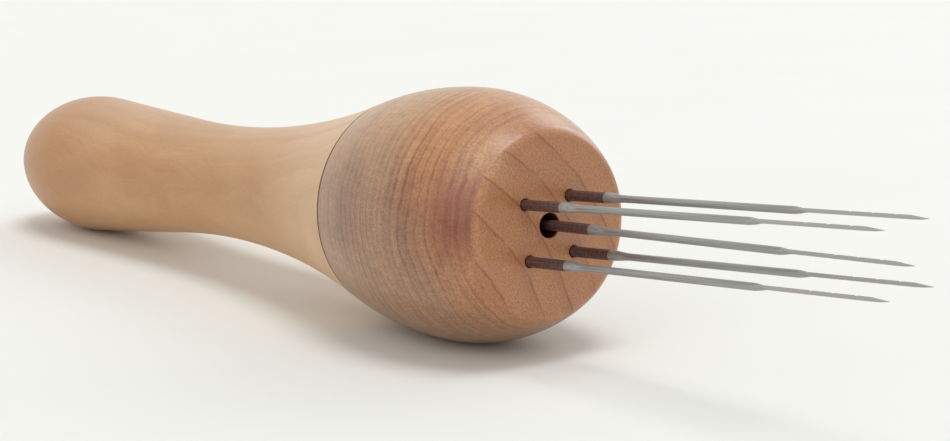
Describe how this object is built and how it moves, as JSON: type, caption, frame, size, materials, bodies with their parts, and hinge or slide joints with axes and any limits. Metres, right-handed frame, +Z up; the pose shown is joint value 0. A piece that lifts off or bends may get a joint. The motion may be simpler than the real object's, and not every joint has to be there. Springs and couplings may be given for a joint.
{
  "type": "felting tool",
  "caption": "Turned wooden felting tool lying on its side: a waisted handle and a screw-on domed head with steel felting needles standing out of its flat front face.",
  "frame": {"origin": "on the table, straight below the centre of the head's front face", "axes": "+X along the tool towards the needle points, level with the table; +Z up; +Y to the left of a person who looks along +X. The tool's own axis rises 3.16 degrees towards the needles, because the tool lies on its bulb and on its wider head"},
  "size_m": [0.2595, 0.0446, 0.0447],
  "materials": {
    "handle_wood": "satin",
    "head_wood": "satin",
    "pad": "matte",
    "needle_steel": "satin"
  },
  "bodies": {
    "handle": {"handle": "handle_wood"},
    "pad": {"pressure_pad": "pad"},
    "head": {"head": "head_wood", "needle_1": "needle_steel", "needle_2": "needle_steel", "needle_3": "needle_steel", "needle_4": "needle_steel", "needle_5": "needle_steel"}
  },
  "joints": [
    {"name": "head_advance", "type": "slide", "parent": "handle", "child": "pad", "axis": [0.9985, 0, 0.0552], "range_m": [0, 0.028]},
    {"name": "head_turn", "type": "hinge", "parent": "pad", "child": "head", "pos_m": [0, 0, 0.02355], "axis": [0.9985, 0, 0.0552], "range_deg": [0, 2520]}
  ],
  "couplings": [
    {"joint": "head_advance", "follows": "head_turn", "m_per_rad": 0.00063662}
  ]
}
